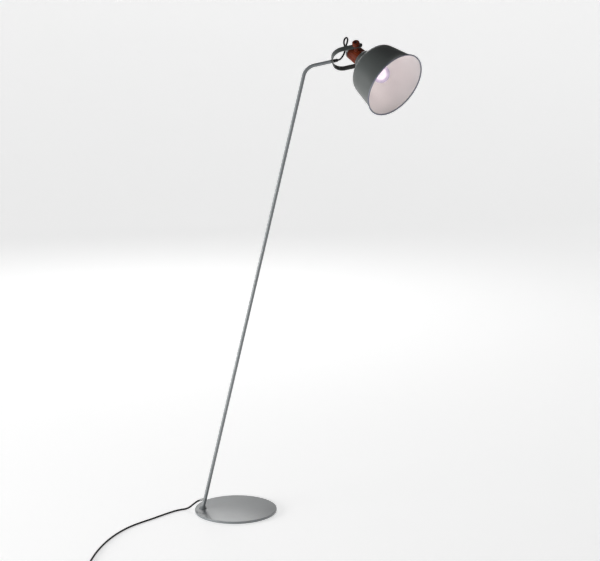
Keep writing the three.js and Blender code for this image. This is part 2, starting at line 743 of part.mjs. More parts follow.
const yokeGroup = new THREE.Group();
yokeGroup.position.copy(yokeCentre);
yokeGroup.rotation.set(SWIVEL, -ARM_RISE, 0, "YXZ");

const headGroup = new THREE.Group();
headGroup.position.set(PIVOT_REACH, 0, 0);
headGroup.rotation.set(0, 0, TILT);

yokeGroup.add(headGroup);
lamp.add(armEnd, yokeGroup);

part(lamp, "base_pad", basePad(), BLACK);
part(lamp, "base_plate", basePlate(), PAINT);
part(lamp, "foot_bolt", footBolt(), STEEL);
part(lamp, "foot_collar", footCollar(), PAINT);
part(lamp, "pole", pole(), PAINT);
part(lamp, "cord_outlet", cordOutlet(), PAINT);
part(lamp, "pole_lead", poleLead(), BLACK);

part(armEnd, "arm_stub", armStub(), BRASS);
part(armEnd, "swivel_washer_rear", swivelWasher(-1), BLACK);
part(armEnd, "swivel_washer_front", swivelWasher(1), STEEL);
part(armEnd, "arm_nut", armNut(), BLACK);

part(yokeGroup, "yoke", yoke(), PAINT);
part(yokeGroup, "pivot_bolt", pivotBolt(), STEEL);
part(yokeGroup, "knob_washer", knobWasher(), STEEL);
part(yokeGroup, "head_lead", headLead(), BLACK);
part(yokeGroup, "tilt_knob", tiltKnob(), WOOD);
part(yokeGroup, "knob_insert", knobInsert(), BRASS);

part(headGroup, "wood_neck", woodNeck(), WOOD);
part(headGroup, "neck_spacer_upper", neckSpacer(1), WOOD);
part(headGroup, "neck_spacer_lower", neckSpacer(-1), WOOD);
part(headGroup, "neck_end_cap", neckEndCap(), PAINT);
part(headGroup, "lead_grommet", leadGrommet(), BLACK);
part(headGroup, "shade_collar", shadeCollar(), PAINT);
part(headGroup, "shade", shade(), PAINT);
part(headGroup, "holder_nipple", holderNipple(), BRASS);
part(headGroup, "nipple_nut", nippleNut(), STEEL);
part(headGroup, "lampholder", lampholder(), BLACK);
part(headGroup, "holder_sleeve", holderSleeve(), BRASS);
part(headGroup, "holder_ring", holderRing(), BLACK);
part(headGroup, "bulb_cap", bulbCap(), STEEL);
part(headGroup, "bulb_glass", bulbGlass(), { color: 0xfff4e6, roughness: 0.25, metalness: 0 });

part(lamp, "mains_cord", mainsCord(), BLACK);
part(lamp, "cord_tail", cordTail(), BLACK);
part(lamp, "cord_coil", cordCoil(), BLACK);
part(lamp, "cord_tie", cordTie(), BLACK);
part(lamp, "plug_lead", plugLead(), BLACK);
part(lamp, "plug_body", plugBody(), BLACK);
part(lamp, "plug_pin_left", plugPin(-1), STEEL);
part(lamp, "plug_pin_right", plugPin(1), STEEL);
part(lamp, "switch_base", switchBase(), BLACK);
part(lamp, "switch_cover", switchCover(), BLACK);
part(lamp, "switch_rocker", switchRocker(), BLACK);

export default lamp;
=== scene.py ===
import json
import math

import bmesh
import bpy
from mathutils import Matrix, Vector


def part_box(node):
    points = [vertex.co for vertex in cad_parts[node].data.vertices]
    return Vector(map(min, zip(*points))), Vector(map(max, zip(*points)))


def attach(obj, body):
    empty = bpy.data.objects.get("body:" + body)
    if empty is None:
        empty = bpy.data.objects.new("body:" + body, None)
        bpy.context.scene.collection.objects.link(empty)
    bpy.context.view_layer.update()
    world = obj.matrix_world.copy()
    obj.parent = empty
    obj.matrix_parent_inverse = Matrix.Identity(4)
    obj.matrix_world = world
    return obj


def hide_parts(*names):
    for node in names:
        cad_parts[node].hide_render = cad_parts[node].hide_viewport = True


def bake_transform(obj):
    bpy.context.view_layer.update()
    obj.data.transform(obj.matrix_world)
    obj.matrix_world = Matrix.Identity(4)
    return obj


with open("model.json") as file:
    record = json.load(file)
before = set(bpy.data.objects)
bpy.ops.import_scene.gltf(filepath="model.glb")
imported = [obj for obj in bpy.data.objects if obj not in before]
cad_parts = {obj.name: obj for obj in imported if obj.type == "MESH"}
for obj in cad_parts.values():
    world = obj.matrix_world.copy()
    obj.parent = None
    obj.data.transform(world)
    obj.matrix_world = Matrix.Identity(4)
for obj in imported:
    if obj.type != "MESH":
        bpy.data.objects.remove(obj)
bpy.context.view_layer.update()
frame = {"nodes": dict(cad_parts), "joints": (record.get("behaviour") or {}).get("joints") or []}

MM = 0.001
RAD = math.pi / 180
OWN_PLACE = "own_place"  # each point's place in its piece's own frame, for the grain of the materials
GAP = 0.3
TIP_R = 1e-4  # a turned profile's point nearer to the axis than this is a tip

# Base and tube
BASE_R = 140
PAD_R = 134
PAD_T = 2
BASE_TOP = 10
FOOT_X = -113
COLLAR_R = 13
COLLAR_H = 8
TUBE_R = 6
LEAN = 13.2 * RAD
POLE_L = 1538.5
ARM_RISE = 12.4 * RAD
BEND_R = 45
OUTLET_H = 35
OUTLET_DROP = 19 * RAD
OUTLET_END = 19
OUTLET_R = 4.4

# Yoke and pivot
STRAP_W = 18
STRAP_T = 3
STRAP_EDGE_R = 0.45
YOKE_HALF = 46
YOKE_CORNER_R = 38
PIVOT_REACH = 85
LEG_PAST_PIVOT = 11
TILT = -60.8 * RAD
STUB_BORE_R = 4.5
SWIVEL_WASHER_T = 1
SWIVEL_WASHER_R = 7.5
NUT_R = 5.6
HEAD_LEAD_R = 2.9
PIVOT_BOLT_R = 3
PIVOT_BORE_R = 3.2
KNOB_WASHER_T = 1.4
KNOB_WASHER_R = 8
KNOB_R = 12.2
KNOB_H = 15
KNOB_BORE_R = 4.9

# Neck, shade and bulb, along the shade's axis from the pivot
NECK_REAR = -24.5
NECK_FRONT = 21.5
NECK_REAR_R = 26.3
NECK_FRONT_R = 27.6
CAP_T = 10.5
CAP_WALL = 1.5
SHADE_COLLAR_R = 38.4
SHADE_COLLAR_WALL = 1.6
SHADE_TOP = 43.2
SHADE_RIM = 187.6
SHADE_RIM_R = 112.4
SHADE_WALL = 1.4
RIM_BEAD_R = 2.2
HOLDER_R = 20
HOLDER_WALL = 2.2
HOLDER_START = 31
HOLDER_END = 77
HOLDER_RING_R = 27
NIPPLE_BORE_R = 5.3
BULB_R = 29.5
BULB_CENTRE = 115
BULB_THROAT = BULB_CENTRE - 40.4
BULB_TIP = BULB_CENTRE - 70
CORE_R = 18

# Mains cord
CORD_R = 3.1
CORD_BORE_R = 3.2
CORD_LYING_H = 3.2
COIL_X = -411
COIL_Y = -690
COIL_MID_R = 34
COIL_TURNS = 4.5
COIL_SPREAD = 6.2
COIL_LOW_H = 3.3
TIE_WIDTH = 10
TIE_WALL = 1.1
SWITCH_X = -445
SWITCH_Y = -594
SWITCH_L = 68
SWITCH_W = 26
SWITCH_CORNER_R = 9
SWITCH_EDGE_R = 1.8
SWITCH_MID_H = 8.5
SWITCH_TOP_H = 17.15
SEAM = 0.15
ROCKER_HALF_W = 5.6
ROCKER_TURN = 7 * RAD
PLUG_X = -377
PLUG_Y = -640
PLUG_H = 7
PLUG_L = 37
PLUG_HALF_T = 6.7
PIN_R = 2
PIN_L = 19.2
PIN_OUT = 9.3

# Studio
FLOOR_R = 7000
SWEEP_R = 4000
WALL_R = 8000
CEILING_H = 11800


# ---- Places ----------------------------------------------------------------------------------------------

def joint(name):
    return next(j for j in frame["joints"] if j["name"] == name)


def axes(origin, x_axis, z_axis):
    """The frame at origin (metres) whose X runs along x_axis and whose Z comes as near z_axis as it can."""
    x = Vector(x_axis).normalized()
    z = Vector(z_axis)
    z = (z - x * z.dot(x)).normalized()
    turn = Matrix((x, z.cross(x), z)).transposed().to_4x4()
    return Matrix.Translation(Vector(origin)) @ turn


swivel = joint("arm_swivel")
tilt = joint("head_tilt")
ROW = Matrix.Identity(4)
ARM = axes(swivel["pos_m"], swivel["axis"], (0, 0, 1))  # X runs on past the arm's end
YOKE = axes(swivel["pos_m"], swivel["axis"], tilt["axis"])  # the same X, with Z along the pivot
PIVOT = YOKE @ Matrix.Translation((PIVOT_REACH * MM, 0, 0))
HEAD = PIVOT @ Matrix.Rotation(TILT, 4, "Z")  # X is the shade's axis, towards its mouth
UP = Matrix.Rotation(-math.pi / 2, 4, "Y")  # stands a turned piece's X up along Z
POLE_AXIS = Vector((math.sin(LEAN), 0, math.cos(LEAN)))
FOOT = Vector((FOOT_X, 0, BASE_TOP))


def at(x, y, z):
    return Matrix.Translation(Vector((x, y, z)) * MM)


# ---- Nodes of the materials ------------------------------------------------------------------------------

class Paint:
    """A node material under construction: add() makes a node, and a socket given as a value is linked."""

    def __init__(self, name, own_place=True):
        self.material = bpy.data.materials.new(name)
        self.material.use_nodes = True
        self.tree = self.material.node_tree
        self.shader = self.tree.nodes["Principled BSDF"]
        if own_place:
            self.place = self.add("ShaderNodeAttribute", attribute_name=OWN_PLACE).outputs["Vector"]
        else:
            self.place = self.add("ShaderNodeTexCoord").outputs["Object"]

    def add(self, kind, inputs=None, **settings):
        node = self.tree.nodes.new(kind)
        for key, value in settings.items():
            setattr(node, key, value)
        for key, value in (inputs or {}).items():
            self.give(node.inputs[key], value)
        return node

    def give(self, socket, value):
        if isinstance(value, bpy.types.NodeSocket):
            self.tree.links.new(value, socket)
        else:
            socket.default_value = value

    def set(self, **inputs):
        for key, value in inputs.items():
            self.give(self.shader.inputs[key.replace("_", " ")], value)

    def stretched(self, x, y, z):
        return self.add("ShaderNodeMapping", {"Vector": self.place, "Scale": (x, y, z)}).outputs["Vector"]

    def noise(self, scale, detail=3, roughness=0.5, where=None):
        inputs = {"Vector": where or self.place, "Scale": scale, "Detail": detail, "Roughness": roughness}
        return self.add("ShaderNodeTexNoise", inputs).outputs["Fac"]

    def between(self, factor, low, high, start=0.0, end=1.0):
        """A number that goes from low to high as factor goes from start to end."""
        inputs = {"Value": factor, "From Min": start, "From Max": end, "To Min": low, "To Max": high}
        return self.add("ShaderNodeMapRange", inputs).outputs["Result"]

    def ramp(self, factor, *stops):
        """A colour from (position, red, green, blue) stops."""
        node = self.add("ShaderNodeValToRGB", {"Fac": factor})
        elements = node.color_ramp.elements
        while len(elements) < len(stops):
            elements.new(0.5)
        for element, (position, *colour) in zip(elements, stops):
            element.position = position
            element.color = (*colour, 1)
        return node.outputs["Color"]

    def blend(self, factor, first, second, mode="MIX"):
        node = self.add("ShaderNodeMix", data_type="RGBA", blend_type=mode)
        colours = [s for s in node.inputs if s.type == "RGBA"]
        self.give(node.inputs["Factor"], factor)
        self.give(colours[0], first)
        self.give(colours[1], second)
        return next(s for s in node.outputs if s.type == "RGBA")

    def bump(self, height, distance_mm, strength=1.0, under=None):
        inputs = {"Height": height, "Distance": distance_mm * MM, "Strength": strength}
        if under:
            inputs["Normal"] = under
        return self.add("ShaderNodeBump", inputs).outputs["Normal"]


def coated(name, dark, light, rough, ior, grain_mm=0.05):
    """Sprayed satin paint: fine orange peel, faint clouding and a slightly uneven gloss."""
    p = Paint(name)
    cloud = p.noise(9, 4)
    peel = p.noise(700, 2, 0.6)
    speck = p.noise(2600, 1)
    colour = p.ramp(cloud, (0.3, *dark), (0.7, *light))
    flecks = p.between(speck, 0, 0.22, 0.45, 0.75)
    p.set(Base_Color=p.blend(flecks, colour, (*[c * 1.7 for c in light], 1)))
    p.set(Roughness=p.between(p.noise(40, 3), *rough), IOR=ior)
    p.set(Normal=p.bump(peel, grain_mm, 0.5))
    return p.material


def wood():
    """Lacquered red-brown timber with its grain along the turned piece's axis."""
    p = Paint("turned_wood")
    along = p.stretched(0.16, 1, 1)
    warp = p.noise(45, 3, 0.6, along)
    rings = p.add("ShaderNodeTexWave", {
        "Vector": along, "Scale": 62, "Distortion": 7,
        "Detail": 3, "Detail Scale": 1.6, "Detail Roughness": 0.6,
    }, wave_type="BANDS", bands_direction="Y").outputs["Fac"]
    fibres = p.noise(1500, 2, 0.6, p.stretched(0.03, 1, 1))
    pores = p.noise(900, 1, 0.4, p.stretched(0.05, 1, 1))
    base = p.ramp(rings, (0.0, 0.085, 0.011, 0.0035), (0.55, 0.145, 0.02, 0.006), (1.0, 0.195, 0.031, 0.0085))
    base = p.blend(p.between(warp, 0.0, 0.5, 0.35, 0.7), base, (0.07, 0.013, 0.007, 1))
    base = p.blend(p.between(fibres, 0, 0.35, 0.4, 0.7), base, (0.22, 0.052, 0.018, 1))
    base = p.blend(p.between(pores, 0, 0.7, 0.62, 0.75), base, (0.03, 0.007, 0.005, 1))
    p.set(Base_Color=base, Roughness=p.between(fibres, 0.36, 0.5))
    p.set(IOR=1.25)
    p.set(Normal=p.bump(pores, 0.06, 0.4, p.bump(fibres, 0.03, 0.4)))
    return p.material


def moulded(name, colour, rough=(0.42, 0.56), grain=1400, depth_mm=0.03, own_place=True, ior=1.45):
    """Moulded plastic or rubber with a fine spark-eroded grain."""
    p = Paint(name, own_place)
    spots = p.noise(grain, 2, 0.7)
    p.set(Base_Color=p.ramp(p.noise(60, 3), (0.3, *colour), (0.75, *[c * 1.35 for c in colour])))
    p.set(Roughness=p.between(p.noise(110, 3), *rough), Normal=p.bump(spots, depth_mm, 0.6), IOR=ior)
    return p.material


def turned_metal(name, dark, light, rough=(0.2, 0.36), own_place=True):
    """Machined metal: fine tool marks round the axis."""
    p = Paint(name, own_place)
    marks = p.noise(2300, 2, 0.6, p.stretched(1, 0.12, 0.12))
    p.set(Base_Color=p.ramp(p.noise(50, 3), (0.3, *dark), (0.7, *light)), Metallic=1.0)
    p.set(Roughness=p.between(marks, *rough), Normal=p.bump(marks, 0.02, 0.4))
    return p.material


def opal_glass():
    p = Paint("opal_glass")
    p.set(Base_Color=p.ramp(p.noise(20, 2), (0.3, 0.6, 0.55, 0.66), (0.7, 0.66, 0.6, 0.7)))
    p.set(Roughness=p.between(p.noise(80, 2), 0.16, 0.24), Transmission_Weight=0.55, IOR=1.2)
    p.set(Emission_Color=(0.72, 0.68, 0.84, 1), Emission_Strength=0.1)
    return p.material


def woven(name, colour):
    """A narrow woven band, its weft across and its warp along."""
    p = Paint(name)
    threads = {"Vector": p.place, "Scale": 420, "Distortion": 1.2}
    weft = p.add("ShaderNodeTexWave", threads, bands_direction="X")
    warp = p.add("ShaderNodeTexWave", threads, bands_direction="Y")
    weave = p.blend(1.0, weft.outputs["Color"], warp.outputs["Color"], "MULTIPLY")
    p.set(Base_Color=p.ramp(weave, (0.1, *colour), (0.9, *[c * 2.6 for c in colour])), Roughness=0.85)
    p.set(Normal=p.bump(weave, 0.12, 0.8))
    return p.material


# One lamp paint in two copies: the lighter one on base, pole and cap is painted light, the darker one on
# shade, collar and yoke is painted shade
GREY_PAINTED_LIGHTER = coated("grey_paint", (0.19, 0.205, 0.212), (0.215, 0.232, 0.24), (0.28, 0.36), 1.7)
SHADE_GREY_PAINTED_DARKER = coated("shade_paint", (0.07, 0.078, 0.076), (0.084, 0.093, 0.09), (0.36, 0.44), 1.5)
WHITE = coated("white_enamel", (0.74, 0.7, 0.71), (0.8, 0.765, 0.775), (0.42, 0.5), 1.45, 0.03)
# The rim bead wears the shade's own paint; this lighter blue-grey copy is a painted highlight
LIP_PAINTED_HIGHLIGHT = coated("rim_painted_highlight", (0.13, 0.14, 0.185), (0.16, 0.17, 0.22), (0.36, 0.44), 1.5)
PALE = moulded("pale_plastic", (0.5, 0.51, 0.5), (0.35, 0.5), 900, 0.02)
BLACK = moulded("black_plastic", (0.012, 0.012, 0.013))
CORD = moulded("cord_rubber", (0.006, 0.006, 0.0065), (0.5, 0.64), 700, 0.05, own_place=False, ior=1.28)
RUBBER = moulded("base_rubber", (0.018, 0.018, 0.019), (0.7, 0.85), 500, 0.12)
WOOD = wood()
STEEL = turned_metal("steel", (0.5, 0.51, 0.52), (0.62, 0.63, 0.64))
# For the CAD nodes that stay, which have no own_place attribute
HIDDEN_STEEL = turned_metal("plated_steel", (0.5, 0.51, 0.52), (0.62, 0.63, 0.64), own_place=False)
HIDDEN_BRASS = turned_metal("raw_brass", (0.5, 0.34, 0.13), (0.62, 0.44, 0.19), (0.26, 0.42), own_place=False)
GLASS = opal_glass()
TIE = woven("tie_fabric", (0.012, 0.012, 0.013))


# ---- Mesh tools ------------------------------------------------------------------------------------------

def made(name, verts, faces, place, material, sharp=38):
    """A mesh object from points in millimetres in the frame place, shaded smooth but for its sharp edges."""
    mesh = bpy.data.meshes.new(name)
    mesh.from_pydata([Vector(v) * MM for v in verts], [], faces)
    bm = bmesh.new()
    bm.from_mesh(mesh)
    bmesh.ops.remove_doubles(bm, verts=bm.verts, dist=1e-6)
    bmesh.ops.recalc_face_normals(bm, faces=bm.faces)
    bm.to_mesh(mesh)
    bm.free()
    mesh.polygons.foreach_set("use_smooth", [True] * len(mesh.polygons))
    mesh.set_sharp_from_angle(angle=sharp * RAD)
    mesh.materials.append(material)
    own = mesh.attributes.new(OWN_PLACE, "FLOAT_VECTOR", "POINT")
    own.data.foreach_set("vector", [c for v in mesh.vertices for c in v.co])
    mesh.transform(place)
    obj = bpy.data.objects.new(name, mesh)
    bpy.context.scene.collection.objects.link(obj)
    return obj


def skin(rings, closed):
    """Faces between rings of vertex numbers; a ring of one is a tip."""
    faces = []
    pairs = list(zip(rings, rings[1:]))
    if closed:
        pairs.append((rings[-1], rings[0]))
    for a, b in pairs:
        n = max(len(a), len(b))
        for i in range(n):
            j = (i + 1) % n
            face = [a[i % len(a)], a[j % len(a)], b[j % len(b)], b[i % len(b)]]
            faces.append(list(dict.fromkeys(face)))
    return faces


def turned(profile, sides, ripple=None):
    """The points, and the rings of point numbers, of (along, radius) points turned about X."""
    verts, rings = [], []
    for x, r in profile:
        count = 1 if r < TIP_R else sides
        rings.append([len(verts) + i for i in range(count)])
        for i in range(count):
            a = 2 * math.pi * i / sides
            here = r * (ripple(a, x) if ripple else 1)
            verts.append((x, here * math.cos(a), here * math.sin(a)))
    return verts, rings


def lathe(name, profile, place, material, sides=64, ripple=None, sharp=38):
    """A body turned about the frame's X: profile points are (along, radius); ripple scales the radius."""
    verts, rings = turned(profile, sides, ripple)
    hollow = profile[0][1] > TIP_R and profile[-1][1] > TIP_R
    return made(name, verts, skin(rings, hollow), place, material, sharp)


def fillet(profile, steps=5):
    """Rounds the corners of a line of (along, radius[, corner radius]) points."""
    line = []
    for i, point in enumerate(profile):
        here = Vector(point[:2])
        size = point[2] if len(point) > 2 else 0
        if size == 0 or i in (0, len(profile) - 1):
            line.append(tuple(here))
            continue
        a = Vector(profile[i - 1][:2]) - here
        b = Vector(profile[i + 1][:2]) - here
        half = a.angle(b) / 2
        back = min(size / math.tan(half), a.length * 0.5, b.length * 0.5)
        r = back * math.tan(half)
        centre = here + (a.normalized() + b.normalized()).normalized() * (r / math.sin(half))
        start = here + a.normalized() * back - centre
        end = here + b.normalized() * back - centre
        sweep = start.angle_signed(end)
        for k in range(steps + 1):
            turn = Matrix.Rotation(-sweep * k / steps, 2)
            line.append(tuple(centre + turn @ start))
    return line


def spline(points, steps=6):
    """A centripetal Catmull-Rom line through points of any dimension."""
    pts = [Vector(p) for p in points]
    pts = [pts[0] * 2 - pts[1]] + pts + [pts[-1] * 2 - pts[-2]]
    line = []
    for p0, p1, p2, p3 in zip(pts, pts[1:], pts[2:], pts[3:]):
        t0 = 0.0
        t1 = t0 + math.sqrt((p1 - p0).length)
        t2 = t1 + math.sqrt((p2 - p1).length)
        t3 = t2 + math.sqrt((p3 - p2).length)
        for k in range(steps):
            t = t1 + (t2 - t1) * k / steps
            a1 = p0 * ((t1 - t) / (t1 - t0)) + p1 * ((t - t0) / (t1 - t0))
            a2 = p1 * ((t2 - t) / (t2 - t1)) + p2 * ((t - t1) / (t2 - t1))
            a3 = p2 * ((t3 - t) / (t3 - t2)) + p3 * ((t - t2) / (t3 - t2))
            b1 = a1 * ((t2 - t) / (t2 - t0)) + a2 * ((t - t0) / (t2 - t0))
            b2 = a2 * ((t3 - t) / (t3 - t1)) + a3 * ((t - t1) / (t3 - t1))
            line.append(b1 * ((t2 - t) / (t2 - t1)) + b2 * ((t - t1) / (t2 - t1)))
    line.append(pts[-2])
    return line


def arc(centre, radius, start_deg, end_deg, steps):
    """The steps + 1 points of an arc about centre, from one angle to the other."""
    angles = [(start_deg + (end_deg - start_deg) * k / steps) * RAD for k in range(steps + 1)]
    return [(centre[0] + radius * math.cos(a), centre[1] + radius * math.sin(a)) for a in angles]


def curved(points, steps=6):
    """The points of a smooth line through these (along, radius) points."""
    return [tuple(p) for p in spline(points, steps)]


def thickened(outer, wall):
    """Closes a line of (along, radius) points with its copy one wall further in."""
    inner = []
    for i, point in enumerate(outer):
        along = Vector(outer[min(i + 1, len(outer) - 1)]) - Vector(outer[max(i - 1, 0)])
        along.normalize()
        inner.append((point[0] + along.y * wall, point[1] - along.x * wall))
    return [*map(tuple, outer), *reversed(inner)]


def tube(name, line, radius, place, material, sides=20):
    """A round bar along a line of points; radius may be one number or one for each point."""
    pts = [Vector(p) for p in line]
    radii = radius if isinstance(radius, list) else [radius] * len(pts)
    verts, rings = [], []
    before = (pts[1] - pts[0]).normalized()
    normal = before.orthogonal().normalized()
    for i, p in enumerate(pts):
        along = (pts[min(i + 1, len(pts) - 1)] - pts[max(i - 1, 0)]).normalized()
        normal = (before.rotation_difference(along) @ normal).normalized()
        side = along.cross(normal)
        before = along
        rings.append([len(verts) + k for k in range(sides)])
        for k in range(sides):
            a = 2 * math.pi * k / sides
            verts.append(p + (normal * math.cos(a) + side * math.sin(a)) * radii[i])
    ends = []
    for p in (pts[0], pts[-1]):
        ends.append([len(verts)])
        verts.append(p)
    return made(name, verts, skin([ends[0], *rings, ends[1]], False), place, material, 50)


def prism(name, outline, z0, z1, place, material, rounding, segments=4):
    """A flat outline raised from z0 to z1 with all its edges rounded."""
    n = len(outline)
    verts = [(x, y, z) for z in (z0, z1) for x, y in outline]
    faces = [list(range(n))[::-1], list(range(n, 2 * n))]
    faces += [[i, (i + 1) % n, n + (i + 1) % n, n + i] for i in range(n)]
    obj = made(name, verts, faces, place, material)
    bevel = obj.modifiers.new("edges", "BEVEL")
    bevel.width = rounding * MM
    bevel.segments = segments
    bevel.limit_method = "ANGLE"
    bevel.angle_limit = 30 * RAD
    bevel.harden_normals = True
    return obj


def rounded_box(w, l, r, steps=6):
    """The outline of a rectangle with round corners, about the origin."""
    points = []
    for i, (sx, sy) in enumerate([(1, 1), (-1, 1), (-1, -1), (1, -1)]):
        for k in range(steps + 1):
            a = (90 * i + 90 * k / steps) * RAD
            points.append((sx * (w / 2 - r) + r * math.cos(a), sy * (l / 2 - r) + r * math.sin(a)))
    return points


def washer(name, start, end, bore, radius, place, material):
    """A flat ring from start to end along the frame's X, its outer edges eased."""
    profile = [(start, bore), (start, radius, 0.3), (end, radius, 0.3), (end, bore)]
    return lathe(name, fillet(profile), place, material, 48)


def show(obj, body, slot_name, *nodes):
    """Puts a finished piece on its body, in the place of these CAD nodes if there are any."""
    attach(obj, body)
    if nodes:
        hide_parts(*nodes)
    return obj


def finish_node(name, material):
    """Gives a CAD node that stays as it is a better material."""
    node = frame["nodes"][name]
    node.data.materials.clear()
    node.data.materials.append(material)


# ---- Camera ----------------------------------------------------------------------------------------------

CAMERA_PLACE_M = (0.1252, -4.9253, 1.6974)
CAMERA_DOWN_DEG = 10.296
CAMERA_RIGHT_DEG = 1.101

camera_data = bpy.data.cameras.new("camera")
camera_data.lens = 90
camera_data.sensor_width = 36
camera_data.clip_end = 100
camera = bpy.data.objects.new("camera", camera_data)
camera.location = CAMERA_PLACE_M
camera.rotation_euler = ((90 - CAMERA_DOWN_DEG) * RAD, 0, -CAMERA_RIGHT_DEG * RAD)
bpy.context.scene.collection.objects.link(camera)
bpy.context.scene.camera = camera


# ---- Mains cord, with its switch and its plug ------------------------------------------------------------

def outlet_frame():
    root = FOOT + POLE_AXIS * (OUTLET_H / math.cos(LEAN))
    return at(*root) @ Matrix.Rotation(math.pi - OUTLET_DROP, 4, "Y")


def coil_line():
    """Turns that lie side by side from the outside in, then back out on top of them, lifted over the tie."""
    steps = 28
    climb_start, climb_end = 2.0, 2.4
    tie_turn, tie_span = 0.25, 0.09
    outer = COIL_MID_R + COIL_SPREAD
    inner = COIL_MID_R - COIL_SPREAD
    points = []
    for i in range(1, int(COIL_TURNS * steps)):
        turn = i / steps
        climb = min(max((turn - climb_start) / (climb_end - climb_start), 0), 1)
        rise = climb * climb * (3 - 2 * climb)
        r = outer - COIL_SPREAD * min(turn, climb_start) + COIL_SPREAD * max(turn - climb_end, 0)
        r = max(r, inner)
        angle = (180 + 360 * turn) * RAD
        over_tie = math.exp(-((((turn % 1) - tie_turn) / tie_span) ** 2))
        z = COIL_LOW_H + 2 * CORD_R * rise + TIE_WALL * over_tie
        points.append((COIL_X + r * math.cos(angle), COIL_Y + r * math.sin(angle), z))
    return points


def mains_line():
    """The cord's route: from the outlet over the floor, through the switch, round the coil, to the plug."""
    outlet = outlet_frame()
    mouth = [outlet @ Vector((d * MM, 0, 0)) / MM for d in (OUTLET_END - 3, OUTLET_END, OUTLET_END + 7)]
    lying = CORD_LYING_H
    laid = [
        (-136, 0.5, 32), (-148, 3, 22), (-160, 8, 11), (-173, 11.5, 4.4), (-188, 8, lying), (-208, -6, lying),
        (-232, -30, lying), (-256, -57, lying), (-286, -91, lying), (-317, -124, lying), (-348, -163, lying),
        (-376, -212, lying), (-400, -270, lying), (-419, -335, lying), (-433, -405, lying),
        (-441, -470, lying), (SWITCH_X, -515, 3.6), (SWITCH_X, -537, 6.6), (SWITCH_X, -553, SWITCH_MID_H),
    ]
    rear, front = SWITCH_Y + SWITCH_L / 2, SWITCH_Y - SWITCH_L / 2
    through = [(SWITCH_X, y, SWITCH_MID_H) for y in (rear, SWITCH_Y, front, front - 6)]
    tail = [(SWITCH_X - 0.8, front - 19, 5.2), (SWITCH_X - 3, front - 32, lying), (SWITCH_X - 5.4, -672, 3.3)]
    lead = [(-370.8, -690, 9.6), (-371.6, -679, 8), (-374, -668, 6.8), (-376.4, -657, 6.9)]
    end = [(PLUG_X, y, PLUG_H) for y in (-648, PLUG_Y, PLUG_Y + 8)]
    route = spline([*mouth, *laid, *through, *tail, *coil_line(), *lead, *end], 3)
    return [p * MM for p in route]


def mains_cord(points):
    data = bpy.data.curves.new("mains_flex", "CURVE")
    data.dimensions = "3D"
    data.bevel_depth = CORD_R * MM
    data.bevel_resolution = 5
    data.use_fill_caps = True
    data.materials.append(CORD)
    strand = data.splines.new("POLY")
    strand.points.add(len(points) - 1)
    for point, place in zip(strand.points, points):
        point.co = (*place, 1)
    strand.use_smooth = True
    obj = bpy.data.objects.new("mains_flex", data)
    bpy.context.scene.collection.objects.link(obj)
    return show(obj, "stand", "cord_rubber", "mains_cord", "cord_tail", "cord_coil", "plug_lead")


def outlet():
    """A pale sleeve that holds the cord where it leaves the tube."""
    end = OUTLET_END
    profile = [
        (4, CORD_BORE_R), (4, OUTLET_R, 0.3), (8, OUTLET_R),
        (end - 3.4, OUTLET_R - 0.1, 0.2), (end - 3, OUTLET_R + 0.3, 0.2),
        (end - 0.6, OUTLET_R + 0.2, 0.4), (end, OUTLET_R - 0.8, 0.3), (end, CORD_BORE_R),
    ]
    sleeve = lathe("outlet_sleeve", fillet(profile), outlet_frame(), PALE, 48)
    return show(sleeve, "stand", "grey_paint", "cord_outlet")


def cord_tie():
    """A woven band wrapped round all the turns on one side of the coil."""
    half_w, half_h = 11.6, 7.5
    middle = (COIL_X, COIL_Y - COIL_MID_R, half_h + 0.15)
    verts, rings = [], []
    for x, y in rounded_box(2 * half_w, 2 * half_h, 4, 5):
        out = Vector((x, y)).normalized()
        rings.append([len(verts) + i for i in range(4)])
        for side, inset in ((-1, 0), (1, 0), (1, TIE_WALL), (-1, TIE_WALL)):
            verts.append((side * TIE_WIDTH / 2, x - out.x * inset, y - out.y * inset))
    band = made("coil_tie", verts, skin(rings, True), at(*middle), TIE, 50)
    return show(band, "stand", "tie_fabric", "cord_tie")


def switch_shells():
    """The switch's two halves; the upper one has a pocket for the rocker."""
    place = at(SWITCH_X, SWITCH_Y, 0)
    outline = rounded_box(SWITCH_W, SWITCH_L, SWITCH_CORNER_R)
    lower = prism("switch_lower", outline, 0.1, SWITCH_MID_H - SEAM, place, BLACK, SWITCH_EDGE_R)
    show(lower, "stand", "black_plastic", "switch_base")
    upper = prism("switch_upper", outline, SWITCH_MID_H + SEAM, SWITCH_TOP_H, place, BLACK, SWITCH_EDGE_R)
    window = rounded_box(12.6, 20, 1)
    hole = prism("switch_window", window, SWITCH_MID_H + 1.5, SWITCH_TOP_H + 5, place, BLACK, 0.01, 1)
    cut = upper.modifiers.new("window", "BOOLEAN")
    cut.object = hole
    cut.operation = "DIFFERENCE"
    cut.solver = "EXACT"
    bpy.context.view_layer.update()
    baked = bpy.data.meshes.new_from_object(upper.evaluated_get(bpy.context.evaluated_depsgraph_get()))
    upper.modifiers.clear()
    upper.data = baked
    bpy.data.objects.remove(hole)
    show(upper, "stand", "black_plastic", "switch_cover")
    return [lower, upper]


def switch_bezel():
    """A raised frame round the rocker."""
    outer = rounded_box(15.4, 22.8, 2)
    inner = rounded_box(12.8, 20.2, 1.1)
    low, high = SWITCH_TOP_H - 0.4, SWITCH_TOP_H + 0.5
    n = len(outer)
    levels = [(outer, low), (outer, high), (inner, high), (inner, low)]
    verts = [(x, y, z) for loop, z in levels for x, y in loop]
    rings = [list(range(k * n, (k + 1) * n)) for k in range(4)]
    bezel = made("switch_bezel", verts, skin(rings, True), at(SWITCH_X, SWITCH_Y, 0), BLACK)
    return show(bezel, "stand", "black_plastic")


